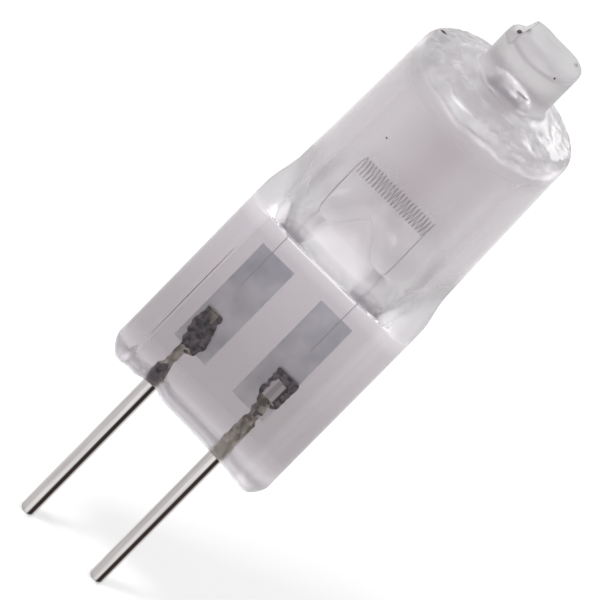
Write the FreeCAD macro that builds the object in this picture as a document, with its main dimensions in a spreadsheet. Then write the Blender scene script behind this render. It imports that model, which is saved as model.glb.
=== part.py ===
import FreeCAD, Part
import math
import os

import Sketcher

# Halogen capsule bulb with a two pin base, in millimetres.
# Z runs up the lamp, X runs from the left pin to the right pin, Y goes through the flat pinch.
# The origin is on the lamp's axis, at the foot of the pinch, where the pins leave the glass.

SIZES = {
    # the two pins
    "pin_spacing": 4.0,
    "pin_diameter": 0.70,
    "pin_reach": 8.2,
    "pin_tip_chamfer": 0.12,
    "shank_end_diameter": 0.62,
    "shank_nose_diameter": 0.21,
    "shank_nose_length": 0.16,
    "left_shank": 1.2,
    "right_shank": 2.2,
    "neck_width": 0.42,
    "neck_root": 0.3,
    "plate_width": 1.15,
    "plate_thickness": 0.20,
    "plate_corner": 0.18,
    "left_plate_foot": 2.2,
    "left_plate_length": 2.2,
    "right_plate_foot": 3.1,
    "right_plate_length": 1.55,
    # the two sealing foils
    "foil_width": 1.8,
    "foil_length": 5.7,
    "foil_thickness": 0.03,
    "foil_foot": 2.35,
    "left_foil_inset": 0.16,
    "right_foil_inset": 0.5,
    # the filament
    "wire_diameter": 0.10,
    "coil_diameter": 0.80,
    "coil_turns": 22,
    "coil_height": 13.55,
    "filament_shift": 0.22,
    "leg_inset": 0.05,
    "leg_foot": 6.1,
    "leg_bend_height": 11.0,
    "leg_bend_rise": 1.2,
    "leg_bend_radius": 1.0,
    "weld_press": 0.01,
    # the pinch
    "pinch_width": 8.85,
    "pinch_thickness": 3.2,
    "pinch_height": 9.5,
    "pinch_side_round": 0.9,
    "pinch_foot_round": 0.5,
    "recess_width": 6.9,
    "recess_depth": 0.18,
    # the bulb, its shoulders, dome and exhaust tip
    "shoulder_length": 2.6,
    "bulb_foot_diameter": 8.25,
    "bulb_top_diameter": 7.85,
    "bulb_length": 7.8,
    "dome_rise": 0.45,
    "dome_round": 0.5,
    "tip_diameter": 3.45,
    "tip_length": 2.45,
    "tip_foot_chamfer": 0.3,
    "tip_chamfer": 0.25,
    # the sealed hollow
    "glass_wall": 0.9,
    "floor_gap": 0.25,
    "floor_width": 6.1,
    "floor_depth": 1.9,
    "hollow_chamfer": 0.5,
    "passage_diameter": 1.9,
    "passage_depth": 0.6,
    "passage_end_diameter": 1.2,
    # the mound of glass on the floor of the hollow
    "mound_width": 3.0,
    "mound_depth": 1.7,
    "mound_height": 1.8,
    "mound_top_width": 0.8,
    "mound_top_depth": 0.5,
    "mound_round": 0.2,
}

# How far up the shoulder each section of its loft lies, as a share of the shoulder's length.
SHOULDER_STEPS = (0.0, 0.35, 0.7, 1.0)
# Where the corner arcs of the shoulder's round top start and end, seen from the lamp's axis.
SIDE_ANGLE = math.radians(10)
FRONT_ANGLE = math.radians(40)
# The fine wire is six-sided and each turn of its coil is eight straight runs, which keeps its faces few.
WIRE_SIDES = 6
COIL_RUNS = 8
# A quarter turn, in degrees.
RIGHT_ANGLE = 90
# Lengths closer than this are the same.
FLAT = 1e-6

doc = FreeCAD.newDocument("halogen_capsule_bulb")
sheet = doc.addObject("Spreadsheet::Sheet", "Sizes")
for row, (alias, number) in enumerate(SIZES.items(), start=1):
    sheet.set(f"A{row}", alias)
    sheet.set(f"B{row}", str(number))
    sheet.setAlias(f"B{row}", alias)
doc.recompute()


def size(expression):
    """The value of an expression of the sheet's sizes, in which each size is written as Sizes.name."""
    return float(sheet.evalExpression(expression))


def bind(thing, **expressions):
    """Ties each property of a document object to an expression."""
    for name, expression in expressions.items():
        thing.setExpression(name, expression)


def place(thing, right="0", back="0", up="0"):
    """Ties where an object stands to three expressions."""
    for axis, expression in zip("xyz", (right, back, up)):
        thing.setExpression(f"Placement.Base.{axis}", expression)


def plane_of(body, role):
    """One of a body's own origin planes."""
    return next(plane for plane in body.Origin.OriginFeatures if plane.Role == role)


def front_outline(body, name, corners, rounds=()):
    """A closed sketch in the body's XZ plane through corners given as pairs of expressions.

    Each round is a corner's number and the expression of the radius that it is rounded with.
    """
    sketch = body.newObject("Sketcher::SketchObject", name)
    sketch.AttachmentSupport = (plane_of(body, "XZ_Plane"), [""])
    sketch.MapMode = "FlatFace"
    points = [FreeCAD.Vector(size(across), size(up), 0) for across, up in corners]
    for start, end in zip(points, points[1:] + points[:1]):
        sketch.addGeometry(Part.LineSegment(start, end))
    count = len(corners)
    for line in range(count):
        sketch.addConstraint(Sketcher.Constraint("Coincident", line, 2, (line + 1) % count, 1))
    for line, (across, up) in enumerate(corners):
        for kind, way, expression, point in (
            ("DistanceX", "across", across, points[line].x),
            ("DistanceY", "up", up, points[line].y),
        ):
            index = sketch.addConstraint(Sketcher.Constraint(kind, -1, 1, line, 1, point))
            sketch.renameConstraint(index, f"{way}_{line}")
            sketch.setExpression(f"Constraints.{way}_{line}", expression)
    doc.recompute()
    for corner, radius in rounds:
        round_edge = sketch.GeometryCount
        sketch.fillet(corner - 1, 2, size(radius), True, True)
        index = sketch.addConstraint(Sketcher.Constraint("Radius", round_edge, size(radius)))
        sketch.renameConstraint(index, f"round_{corner}")
        sketch.setExpression(f"Constraints.round_{corner}", radius)
    doc.recompute()
    return sketch


def revolve(body, sketch):
    """A full turn of a sketch about the body's Z axis."""
    turned = body.newObject("PartDesign::Revolution", f"{sketch.Name}_turned")
    turned.Profile = sketch
    turned.ReferenceAxis = (sketch, ["V_Axis"])
    turned.Angle = 360
    doc.recompute()
    return turned


# Heights and radii that several pieces share, as expressions of the sheet.
PIN_X = "Sizes.pin_spacing / 2"
HALF_SPAN = f"{PIN_X} - Sizes.leg_inset"
FOIL_FRONT = "Sizes.plate_thickness / 2"
WELD_Y = f"{FOIL_FRONT} - Sizes.wire_diameter / 2 + Sizes.weld_press"
COIL_RADIUS = "(Sizes.coil_diameter - Sizes.wire_diameter) / 2"
SHOULDER_TOP = "Sizes.pinch_height + Sizes.shoulder_length"
BULB_TOP = f"{SHOULDER_TOP} + Sizes.bulb_length"
DOME_TOP = f"{BULB_TOP} + Sizes.dome_rise"
TIP_TOP = f"{DOME_TOP} + Sizes.tip_length"
HOLLOW_FOOT_RADIUS = "Sizes.bulb_foot_diameter / 2 - Sizes.glass_wall"
HOLLOW_TOP_RADIUS = "Sizes.bulb_top_diameter / 2 - Sizes.glass_wall"
HOLLOW_FLOOR = "Sizes.pinch_height + Sizes.floor_gap"


def make_pin(label, side, shank, plate_foot, plate_length):
    """A round pin whose sealed end narrows to a neck and a flattened plate, which is welded to the foil."""
    body = doc.addObject("PartDesign::Body", label)
    body.Label = label
    rod = front_outline(
        body,
        f"{label}_rod",
        [
            ("0", "-Sizes.pin_reach"),
            ("Sizes.pin_diameter / 2 - Sizes.pin_tip_chamfer", "-Sizes.pin_reach"),
            ("Sizes.pin_diameter / 2", "Sizes.pin_tip_chamfer - Sizes.pin_reach"),
            ("Sizes.pin_diameter / 2", "0"),
            ("Sizes.shank_end_diameter / 2", f"{shank} - Sizes.shank_nose_length"),
            ("Sizes.shank_nose_diameter / 2", shank),
            ("0", shank),
        ],
    )
    revolve(body, rod)
    neck = "Sizes.neck_width / 2"
    plate = "Sizes.plate_width / 2"
    slope = f"{plate_foot} + {plate} - {neck}"
    plate_top = f"{plate_foot} + {plate_length}"
    corner = "Sizes.plate_corner"
    neck_root = f"{shank} - Sizes.neck_root"
    flat = front_outline(
        body,
        f"{label}_flat",
        [
            (f"-{neck}", neck_root),
            (neck, neck_root),
            (neck, plate_foot),
            (plate, slope),
            (plate, f"{plate_top} - {corner}"),
            (f"{plate} - {corner}", plate_top),
            (f"{corner} - {plate}", plate_top),
            (f"-{plate}", f"{plate_top} - {corner}"),
            (f"-{plate}", slope),
            (f"-{neck}", plate_foot),
        ],
    )
    pad = body.newObject("PartDesign::Pad", f"{label}_plate")
    pad.Profile = flat
    pad.Midplane = True
    pad.Length = size("Sizes.plate_thickness")
    pad.setExpression("Length", "Sizes.plate_thickness")
    place(body, right=f"{side} * {PIN_X}")
    doc.recompute()
    return body


def make_foil(label, side, inset):
    """A sealing foil, whose front face lies on the flattened pin and on the filament's leg."""
    foil = doc.addObject("Part::Box", label)
    foil.Label = label
    bind(foil, Length="Sizes.foil_width", Width="Sizes.foil_thickness", Height="Sizes.foil_length")
    place(foil, f"{side} * ({PIN_X} - {inset}) - Sizes.foil_width / 2", FOIL_FRONT, "Sizes.foil_foot")
    doc.recompute()
    return foil


def arc(start, middle, end):
    return Part.Arc(start, middle, end).toShape()


def bent_run(points, radius):
    """Straight edges through the points, joined by tangent arcs of one radius."""
    edges = []
    start = points[0]
    for before, corner, after in zip(points, points[1:], points[2:]):
        incoming = (corner - before).normalize()
        outgoing = (after - corner).normalize()
        turn = incoming.getAngle(outgoing)
        reach = radius * math.tan(turn / 2)
        entry = corner - incoming * reach
        leave = corner + outgoing * reach
        inward = (outgoing - incoming).normalize()
        middle = corner + inward * (radius / math.cos(turn / 2) - radius)
        edges += [Part.LineSegment(start, entry).toShape(), arc(entry, middle, leave)]
        start = leave
    edges.append(Part.LineSegment(start, points[-1]).toShape())
    return edges


def coil_corners():
    """The corners of the coil's straight runs, from the front of its left end to the back of its right."""
    half_span = size(HALF_SPAN)
    left_end = -half_span - size("Sizes.filament_shift")
    middle = size("Sizes.coil_height")
    step = 2 * math.pi / COIL_RUNS
    radius = size(COIL_RADIUS) / math.cos(step / 2)
    count = int(size("Sizes.coil_turns") * COIL_RUNS + COIL_RUNS / 2)
    corners = []
    for corner in range(count):
        angle = (corner + 0.5) * step
        along = left_end + 2 * half_span * corner / (count - 1)
        corners.append(FreeCAD.Vector(along, -radius * math.cos(angle), middle + radius * math.sin(angle)))
    return corners


def leg_points(side, top):
    """The corners of one leg from its weld on the foil up to the coil's nearest corner."""
    weld_y = size(WELD_Y)
    bend = size("Sizes.leg_bend_height")
    coil_y = side * size(COIL_RADIUS)
    return [
        FreeCAD.Vector(top.x, weld_y, size("Sizes.leg_foot")),
        FreeCAD.Vector(top.x, weld_y, bend),
        FreeCAD.Vector(top.x, coil_y, bend + size("Sizes.leg_bend_rise")),
        top,
    ]


def filament_path():
    """The filament's middle line: up the left leg, along the coil and down the right leg."""
    bend_radius = size("Sizes.leg_bend_radius")
    corners = coil_corners()
    coil = [Part.LineSegment(start, end).toShape() for start, end in zip(corners, corners[1:])]
    left_leg = bent_run(leg_points(-1, corners[0]), bend_radius)
    right_leg = bent_run(leg_points(1, corners[-1]), bend_radius)
    return Part.Wire(left_leg + coil + [edge.reversed() for edge in reversed(right_leg)])


def make_filament(foils):
    """One wire with a coiled middle. Where a leg is welded to its foil, the foil's face flattens it."""
    path = doc.addObject("Part::Feature", "filament_path")
    path.Shape = filament_path()
    ring = doc.addObject("Part::RegularPolygon", "filament_ring")
    ring.Polygon = WIRE_SIDES
    bind(ring, Circumradius="Sizes.wire_diameter / 2")
    place(ring, f"-({HALF_SPAN}) - Sizes.filament_shift", WELD_Y, "Sizes.leg_foot")
    wire = doc.addObject("Part::Sweep", "filament_wire")
    wire.Sections = [ring]
    wire.Spine = (path, [f"Edge{i + 1}" for i in range(len(path.Shape.Edges))])
    wire.Solid = True
    wire.Frenet = False
    wire.Transition = "Right corner"
    both_foils = doc.addObject("Part::Compound", "both_foils")
    both_foils.Links = foils
    filament = doc.addObject("Part::Cut", "filament")
    filament.Label = "filament"
    filament.Base = wire
    filament.Tool = both_foils
    doc.recompute()
    return filament


def make_bulb():
    """The round part of the glass: a slightly tapered tube, a low dome and the exhaust tip."""
    body = doc.addObject("PartDesign::Body", "bulb_blank")
    outline = front_outline(
        body,
        "bulb_outline",
        [
            ("0", SHOULDER_TOP),
            ("Sizes.bulb_foot_diameter / 2", SHOULDER_TOP),
            ("Sizes.bulb_top_diameter / 2", BULB_TOP),
            ("Sizes.tip_diameter / 2 + Sizes.tip_foot_chamfer", DOME_TOP),
            ("Sizes.tip_diameter / 2", f"{DOME_TOP} + Sizes.tip_foot_chamfer"),
            ("Sizes.tip_diameter / 2", f"{TIP_TOP} - Sizes.tip_chamfer"),
            ("Sizes.tip_diameter / 2 - Sizes.tip_chamfer", TIP_TOP),
            ("0", TIP_TOP),
        ],
        rounds=[(2, "Sizes.dome_round")],
    )
    revolve(body, outline)
    return body


def make_hollow_bulb():
    """The round part of the hollow, one wall inside the bulb, with the passage left in the exhaust tip."""
    body = doc.addObject("PartDesign::Body", "hollow_bulb")
    corner_top = f"{BULB_TOP} - Sizes.glass_wall"
    outline = front_outline(
        body,
        "hollow_outline",
        [
            ("0", SHOULDER_TOP),
            (HOLLOW_FOOT_RADIUS, SHOULDER_TOP),
            (HOLLOW_TOP_RADIUS, f"{corner_top} - Sizes.hollow_chamfer"),
            (f"{HOLLOW_TOP_RADIUS} - Sizes.hollow_chamfer", corner_top),
            ("Sizes.passage_diameter / 2", f"{DOME_TOP} - Sizes.glass_wall"),
            ("Sizes.passage_end_diameter / 2", f"{DOME_TOP} + Sizes.passage_depth"),
            ("0", f"{DOME_TOP} + Sizes.passage_depth"),
        ],
    )
    revolve(body, outline)
    return body


def quarter_points(half_width, half_depth, corner, side_angle, front_angle):
    """Five points of a pressed tube's outline from side to front: a flat arc, a corner arc, a flat arc.

    The corner arc has its own radius and starts and ends where the outline faces the two angles. The radii
    of the flat arcs follow, because the three arcs are tangent.
    """
    side_cos, side_sin = math.cos(side_angle), math.sin(side_angle)
    front_cos, front_sin = math.cos(front_angle), math.sin(front_angle)
    across = half_width - corner * (side_cos - front_cos)
    through = half_depth - corner * (front_sin - side_sin)
    if side_angle:
        share = (1 - side_cos) * (1 - front_sin) - front_cos * side_sin
        side_radius = (across * (1 - front_sin) - through * front_cos) / share
        side_end = (half_width - side_radius * (1 - side_cos), side_radius * side_sin)
    else:
        side_end = (half_width, half_depth - corner)
    middle = ((side_cos + front_cos) / 2, (side_sin + front_sin) / 2)
    slant = math.hypot(*middle)
    centre = (side_end[0] - corner * side_cos, side_end[1] - corner * side_sin)
    return [
        (half_width, 0),
        side_end,
        (centre[0] + corner * middle[0] / slant, centre[1] + corner * middle[1] / slant),
        (centre[0] + corner * front_cos, centre[1] + corner * front_sin),
        (0, half_depth),
    ]


def pressed_section(half_width, half_depth, corner, side_angle, front_angle, height):
    """A closed outline of four flat arcs and four corner arcs. With no side angle the flat are straight."""
    quarter = quarter_points(half_width, half_depth, corner, side_angle, front_angle)
    onward, backward = quarter[:-1], quarter[:0:-1]
    ring = [
        FreeCAD.Vector(x * across, y * through, height)
        for x, y, part in ((1, 1, onward), (-1, 1, backward), (-1, -1, onward), (1, -1, backward))
        for across, through in part
    ]
    ring = ring[-1:] + ring[:-1]
    edges = []
    for first in range(0, len(ring), 2):
        start, middle, end = (ring[(first + step) % len(ring)] for step in range(3))
        flat = side_angle == 0 and first % 4 == 0
        edges.append(Part.LineSegment(start, end).toShape() if flat else arc(start, middle, end))
    return Part.Wire(edges)


def outline_object(name, wire):
    outline = doc.addObject("Part::Feature", name)
    outline.Shape = wire
    return outline


def loft(name, wires):
    """A smooth solid through closed outlines, from the lowest to the highest."""
    body = doc.addObject("Part::Loft", name)
    body.Sections = [outline_object(f"{name}_section_{index}", wire) for index, wire in enumerate(wires)]
    body.Solid = True
    doc.recompute()
    return body


def make_shoulder():
    """The glass between the flat pinch and the round bulb, as a loft."""
    half_width = size("Sizes.pinch_width / 2")
    half_depth = size("Sizes.pinch_thickness / 2")
    corner = size("Sizes.pinch_side_round")
    radius = size("Sizes.bulb_foot_diameter / 2")
    wires = [
        pressed_section(
            half_width + (radius - half_width) * (1 - math.cos(math.pi * step)) / 2,
            half_depth + (radius - half_depth) * math.sin(math.pi / 2 * step),
            corner + (radius - corner) * step,
            SIDE_ANGLE * step,
            math.pi / 2 + (FRONT_ANGLE - math.pi / 2) * step,
            size("Sizes.pinch_height") + size("Sizes.shoulder_length") * step,
        )
        for step in SHOULDER_STEPS
    ]
    return loft("shoulder", wires)


def make_hollow_floor():
    """The foot of the hollow: a loft from a flat ellipse over the pinch up to the bulb's round."""
    rings = []
    for step in SHOULDER_STEPS[:-1]:
        ring = doc.addObject("Part::Ellipse", f"hollow_ring_{len(rings)}")
        across = f"({HOLLOW_FOOT_RADIUS} - Sizes.floor_width / 2)"
        through = f"({HOLLOW_FOOT_RADIUS} - Sizes.floor_depth / 2)"
        bind(
            ring,
            MajorRadius=f"Sizes.floor_width / 2 + {across} * {step}",
            MinorRadius=f"Sizes.floor_depth / 2 + {through} * sin({RIGHT_ANGLE * step} deg)",
        )
        place(ring, up=f"{HOLLOW_FLOOR} + (Sizes.shoulder_length - Sizes.floor_gap) * {step}")
        rings.append(ring)
    round_ring_above = doc.addObject("Part::Circle", "hollow_ring_top")
    bind(round_ring_above, Radius=HOLLOW_FOOT_RADIUS)
    place(round_ring_above, up=SHOULDER_TOP)
    foot = doc.addObject("Part::Loft", "hollow_foot")
    foot.Sections = rings + [round_ring_above]
    foot.Solid = True
    foot.Ruled = True
    doc.recompute()
    return foot


def edges_where(shape, test):
    """The numbers of the edges whose ends' heights pass a test."""
    return [
        number
        for number, edge in enumerate(shape.Edges, start=1)
        if test([vertex.Point.z for vertex in edge.Vertexes])
    ]


def rounded(name, base, numbers, radius):
    """A fillet of one radius on some edges of a Part object."""
    fillet = doc.addObject("Part::Fillet", name)
    fillet.Base = base
    fillet.Edges = [(number, size(radius), size(radius)) for number in numbers]
    doc.recompute()
    return fillet


def make_mound():
    """The glass that the jaws pushed up between the legs: a steep, rounded mound on the hollow's floor."""
    block = doc.addObject("Part::Wedge", "mound_block")
    block.Placement.Rotation = FreeCAD.Rotation(FreeCAD.Vector(1, 0, 0), RIGHT_ANGLE)
    bind(
        block,
        Xmin="-Sizes.mound_width / 2",
        Xmax="Sizes.mound_width / 2",
        X2min="-Sizes.mound_top_width / 2",
        X2max="Sizes.mound_top_width / 2",
        Ymin="0",
        Ymax="Sizes.floor_gap + Sizes.mound_height",
        Zmin="-Sizes.mound_depth / 2",
        Zmax="Sizes.mound_depth / 2",
        Z2min="-Sizes.mound_top_depth / 2",
        Z2max="Sizes.mound_top_depth / 2",
    )
    place(block, "-Sizes.filament_shift", up="Sizes.pinch_height")
    doc.recompute()
    slanted = edges_where(block.Shape, lambda heights: max(heights) - min(heights) > FLAT)
    return rounded("mound", block, slanted, "Sizes.mound_round")


def make_pinch():
    """The flat pressed end: a block with round sides and a rounded foot."""
    block = doc.addObject("Part::Box", "pinch_block")
    bind(block, Length="Sizes.pinch_width", Width="Sizes.pinch_thickness", Height="Sizes.pinch_height")
    place(block, "-Sizes.pinch_width / 2", "-Sizes.pinch_thickness / 2")
    doc.recompute()
    upright = edges_where(block.Shape, lambda heights: max(heights) - min(heights) > FLAT)
    sided = rounded("pinch_sided", block, upright, "Sizes.pinch_side_round")
    foot = edges_where(sided.Shape, lambda heights: max(heights) < FLAT)
    return rounded("pinch_footed", sided, foot, "Sizes.pinch_foot_round")


def make_recess(name, side):
    """The print of one jaw, which leaves the lips standing along both sides of the pinch."""
    jaw = doc.addObject("Part::Box", name)
    bind(
        jaw,
        Length="Sizes.recess_width",
        Width="Sizes.recess_depth * 2",
        Height="Sizes.pinch_height",
    )
    place(jaw, "-Sizes.recess_width / 2", f"{side} * Sizes.pinch_thickness / 2 - Sizes.recess_depth")
    doc.recompute()
    return jaw


def fused(name, shapes):
    union = doc.addObject("Part::MultiFuse", name)
    union.Shapes = shapes
    union.Refine = True
    doc.recompute()
    return union


def cut(name, base, tool):
    difference = doc.addObject("Part::Cut", name)
    difference.Base = base
    difference.Tool = tool
    difference.Refine = True
    doc.recompute()
    return difference


def make_glass(metal):
    """The whole glass: its outer forms joined, less the hollow, the jaw prints and the metal's own room."""
    solid_glass = fused("solid_glass", [make_bulb(), make_shoulder(), make_pinch()])
    hollow = cut("hollow", fused("full_hollow", [make_hollow_bulb(), make_hollow_floor()]), make_mound())
    prints = fused("jaw_prints", [make_recess("front_recess", -1), make_recess("back_recess", 1)])
    sealed_metal = fused("sealed_metal", metal)
    blown = cut("blown_glass", solid_glass, hollow)
    pressed = cut("pressed_glass", blown, prints)
    glass = cut("glass_envelope", pressed, sealed_metal)
    glass.Label = "glass_envelope"
    return glass


def write(parts):
    """Stops on any object that failed, then writes one STEP file for each sub-part."""
    doc.recompute()
    for thing in doc.Objects:
        if {"Invalid", "Error"} & set(thing.State):
            raise RuntimeError(f"{thing.Label} failed: {thing.State}")
    os.makedirs("parts", exist_ok=True)
    for part in parts:
        if part.Shape.isNull() or not part.Shape.isValid():
            raise RuntimeError(f"{part.Label} has no valid shape")
        if len(part.Shape.Solids) != 1:
            raise RuntimeError(f"{part.Label} has {len(part.Shape.Solids)} solids")
    for part in parts:
        part.Shape.exportStep(f"parts/{part.Label}.step")
        print(f"{part.Label}: {part.Shape.Volume:.4f} mm3")


left_pin = make_pin("left_pin", -1, "Sizes.left_shank", "Sizes.left_plate_foot", "Sizes.left_plate_length")
right_pin = make_pin(
    "right_pin", 1, "Sizes.right_shank", "Sizes.right_plate_foot", "Sizes.right_plate_length"
)
left_foil = make_foil("left_foil", -1, "Sizes.left_foil_inset")
right_foil = make_foil("right_foil", 1, "Sizes.right_foil_inset")
filament = make_filament([left_foil, right_foil])
glass_envelope = make_glass([left_pin, right_pin, left_foil, right_foil, filament])
write([glass_envelope, filament, left_foil, right_foil, left_pin, right_pin])
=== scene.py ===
import math

import bmesh
import bpy
from mathutils import Matrix, Vector, noise


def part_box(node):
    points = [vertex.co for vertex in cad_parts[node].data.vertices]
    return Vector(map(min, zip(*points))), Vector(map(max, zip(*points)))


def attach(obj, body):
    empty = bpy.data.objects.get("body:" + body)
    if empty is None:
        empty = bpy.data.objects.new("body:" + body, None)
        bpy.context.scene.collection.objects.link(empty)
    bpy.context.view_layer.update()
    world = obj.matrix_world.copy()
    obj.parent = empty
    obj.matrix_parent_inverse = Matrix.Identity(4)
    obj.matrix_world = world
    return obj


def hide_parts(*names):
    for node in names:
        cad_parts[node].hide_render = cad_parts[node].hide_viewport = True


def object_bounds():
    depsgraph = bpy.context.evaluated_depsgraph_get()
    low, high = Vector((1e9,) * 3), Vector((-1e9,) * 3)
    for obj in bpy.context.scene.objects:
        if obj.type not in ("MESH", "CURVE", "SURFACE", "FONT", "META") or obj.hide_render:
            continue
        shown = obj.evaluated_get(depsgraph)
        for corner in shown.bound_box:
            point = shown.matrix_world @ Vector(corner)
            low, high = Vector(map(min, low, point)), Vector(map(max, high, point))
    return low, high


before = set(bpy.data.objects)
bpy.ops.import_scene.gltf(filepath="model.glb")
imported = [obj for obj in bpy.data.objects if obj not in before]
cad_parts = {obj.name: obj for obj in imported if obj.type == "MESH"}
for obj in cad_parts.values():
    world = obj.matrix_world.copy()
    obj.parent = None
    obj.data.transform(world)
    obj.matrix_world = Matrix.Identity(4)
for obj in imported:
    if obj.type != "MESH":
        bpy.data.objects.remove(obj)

bl_info = {
    "name": "Halogen capsule bulb",
    "version": (1, 0, 0),
    "blender": (4, 5, 0),
    "location": "View3D > Sidebar > Bulb",
    "description": "Dresses the halogen capsule bulb's frame with glass, wire, foil and light",
    "category": "Object",
}

MM = 0.001
CAD_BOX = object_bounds()
GLASS_LOW, GLASS_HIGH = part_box("glass_envelope")
RIGHT_PIN_LOW, RIGHT_PIN_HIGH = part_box("right_pin")
LEFT_FOIL_LOW, LEFT_FOIL_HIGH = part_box("left_foil")
COIL_LOW, COIL_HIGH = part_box("filament")
PIN_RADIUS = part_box("left_pin")[1].y
RIGHT_PIN_X = (RIGHT_PIN_LOW.x + RIGHT_PIN_HIGH.x) / 2
# Light may be thrown back and forth this often inside the glass before it is given up as black.
LIGHT_BOUNCES = 32
QUARTZ_IOR = 1.458
WHITE = (1.0, 1.0, 1.0, 1.0)
# Settings of the nodes that mix two colours.
BY_PART = {"data_type": "RGBA"}
TO_WHITE = {"data_type": "RGBA", "7": WHITE}
MULTIPLIED = {"data_type": "RGBA", "blend_type": "MULTIPLY", "0": 1.0}
ADDED = {"data_type": "RGBA", "blend_type": "ADD", "0": 1.0}
# The order of the finishes on the glass and on the pins.
SKIN, BORE, MILKY = 0, 1, 2
ROD, BURNT, DULL = 0, 1, 2


def length(name, description, default):
    """A size property in metres, written here in millimetres."""
    return bpy.props.FloatProperty(name=name, description=description, default=default * MM, unit="LENGTH")


def whole(name, description, default):
    """A whole number property."""
    return bpy.props.IntProperty(name=name, description=description, default=default)


def tilt(name, description, degrees):
    """An angle property, written here in degrees."""
    return bpy.props.FloatProperty(
        name=name, description=description, default=math.radians(degrees), subtype="ANGLE"
    )


def hue(name, description, default):
    """A colour property, written here as an sRGB hex value."""
    return bpy.props.FloatVectorProperty(
        name=name, description=description, default=linear(default), size=4, min=0, max=1, subtype="COLOR"
    )


def linear(hex_value):
    """The linear colour of an sRGB hex value."""
    channels = [int(hex_value[start:start + 2], 16) / 255 for start in (1, 3, 5)]
    return (*(c / 12.92 if c <= 0.04045 else ((c + 0.055) / 1.055) ** 2.4 for c in channels), 1.0)


class GlassSettings(bpy.types.PropertyGroup):
    """Sizes and colours of the quartz envelope."""

    ring_points: whole("Ring points", "Points round each ring", 256)
    pinch_height: length("Pinch height", "Height of the flat pinch", 9.5)
    pinch_depth: length("Pinch thickness", "Thickness of the pinch over its side lips", 3.2)
    pinch_corner: length("Pinch corner", "Radius along the sides of the pinch", 0.9)
    foot_round: length("Foot round", "Radius round the foot of the pinch", 0.5)
    recess_width: length("Print width", "Width of the jaws' prints", 6.9)
    recess_depth: length("Print depth", "Depth of the jaws' prints", 0.18)
    shoulder: length("Shoulder", "Height of the flare from pinch to bulb", 2.6)
    bulb_foot: length("Bulb foot diameter", "Diameter of the bulb above its shoulder", 8.25)
    bulb_top: length("Bulb top diameter", "Diameter of the bulb below its dome", 7.85)
    bulb_length: length("Bulb length", "Length of the round bulb", 7.8)
    dome_rise: length("Dome rise", "Height of the low dome", 0.45)
    dome_round: length("Dome round", "Radius between bulb and dome", 0.5)
    tip_diameter: length("Tip diameter", "Diameter of the exhaust tip", 3.45)
    tip_foot_round: length("Tip foot round", "Radius where the exhaust tip meets the dome", 0.3)
    tip_edge: length("Tip edge", "Radius round the end of the exhaust tip", 0.2)
    chip: length("Chip", "Depth of the chip broken off the exhaust tip", 0.5)
    melt: length("Melt", "Depth to which the exhaust tip's front edge is melted down", 0.3)
    bead: length("Bead", "Height of the bead at the crease above the prints", 0.08)
    wall: length("Wall", "Thickness of the bulb's wall", 0.9)
    bore_corner: length("Bore corner", "Radius between the bore's wall and its ceiling", 0.5)
    floor_gap: length("Floor gap", "Height of the hollow's floor above the pinch", 0.25)
    floor_width: length("Floor width", "Width of the hollow's floor", 6.1)
    floor_depth: length("Floor depth", "Depth of the hollow's floor", 2.3)
    mound_height: length("Mound height", "Height of the mound of glass between the legs", 2.5)
    mound_width: length("Mound width", "Width of the mound of glass between the legs", 3.0)
    mound_rounds: whole("Mound rounds", "Rounds of smoothing over the mound", 12)
    mound_middle: length("Mound middle", "Place of the mound to the right of the axis", -0.22)
    passage_width: length("Passage width", "Width of the exhaust passage", 1.9)
    passage_depth: length("Passage depth", "Height of the exhaust passage above the dome's top", 0.6)
    ripple: length("Ripple", "Height of the slow waves left by the flame", 0.04)
    # Partly the quartz's own smoky grey and partly painted light and shade: the foot, the flare and the tip's
    # end are painted lighter.
    foot_tint: hue("Foot tint", "Colour of the glass at the foot", "#EAE7EA")
    seal_tint: hue("Seal tint", "Colour of the glass in the pinch", "#A9A2A6")
    seal_top_tint: hue("Seal top tint", "Colour of the glass at the top of the pinch", "#C3BCC2")
    flare_painted_light: hue("Flare tint", "Colour of the glass in the flare", "#F2EFF2")
    bulb_tint: hue("Bulb tint", "Colour of the glass in the bulb's wall", "#CFC9CD")
    dome_tint: hue("Dome tint", "Colour of the glass in the dome and tip", "#D9D6D9")
    tip_tint: hue("Tip tint", "Colour of the glass in the exhaust tip", "#BCB6BA")
    # Painted shade: the middle of the bore and the exhaust passage are painted darker than the bore's clear
    # sides.
    bore_painted_shade: hue("Bore tint", "Colour of the middle of the bore", "#E2DEE0")
    # Painted light and shade on the floor: the floor is a dark lens, and the mound's tint also paints pale
    # highlight bands along its back rim.
    mound_tint_and_rim_highlight: hue("Mound tint", "Colour of the milky mound", "#FFFDFF")
    floor_painted_shade: hue("Floor tint", "Colour of the hollow's flat floor", "#827F86")
    passage_painted_shade: hue("Passage tint", "Colour of the exhaust passage", "#C6C3C6")
    bore_side_tint: hue("Bore side tint", "Colour of the sides of the bore", "#FFFFFF")


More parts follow.
